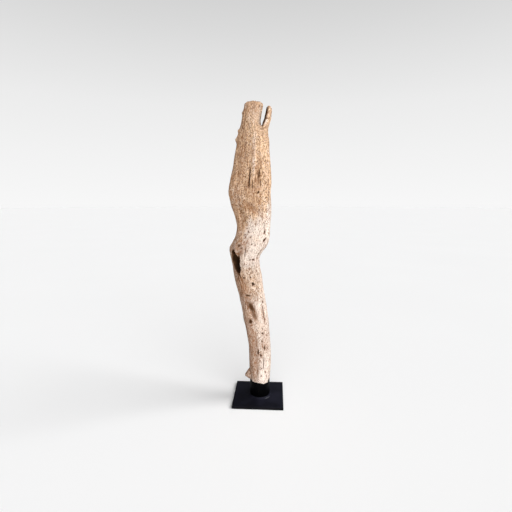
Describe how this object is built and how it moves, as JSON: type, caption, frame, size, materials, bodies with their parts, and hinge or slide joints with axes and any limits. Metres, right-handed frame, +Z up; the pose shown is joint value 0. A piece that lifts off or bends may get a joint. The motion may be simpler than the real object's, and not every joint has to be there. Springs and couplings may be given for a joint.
{
  "type": "driftwood sculpture on stand",
  "caption": "Tall weathered driftwood piece with a forked top and a knee, standing upright in a round steel socket welded on a square base plate.",
  "frame": {"origin": "centre of the base plate's underside, where the stand rests", "axes": "+Z up along the standing wood, +X to the right seen from the front, +Y to the back, square to the plate's sides"},
  "size_m": [0.1631, 0.15, 0.867],
  "materials": {
    "bleached_wood": "dry weathered driftwood, tan above and bleached cream below, with open grain, pits and cracks",
    "plate_black": "satin black, faint brushed streaks",
    "tube_black": "satin black",
    "weld_black": "rippled weld under satin black",
    "screw_black": "blackened steel, rubbed at the edges"
  },
  "bodies": {
    "root": {"driftwood": "bleached_wood", "base_plate": "plate_black", "socket_tube": "tube_black", "weld_bead": "weld_black", "fixing_screw_left": "screw_black", "fixing_screw_right": "screw_black"}
  },
  "joints": []
}
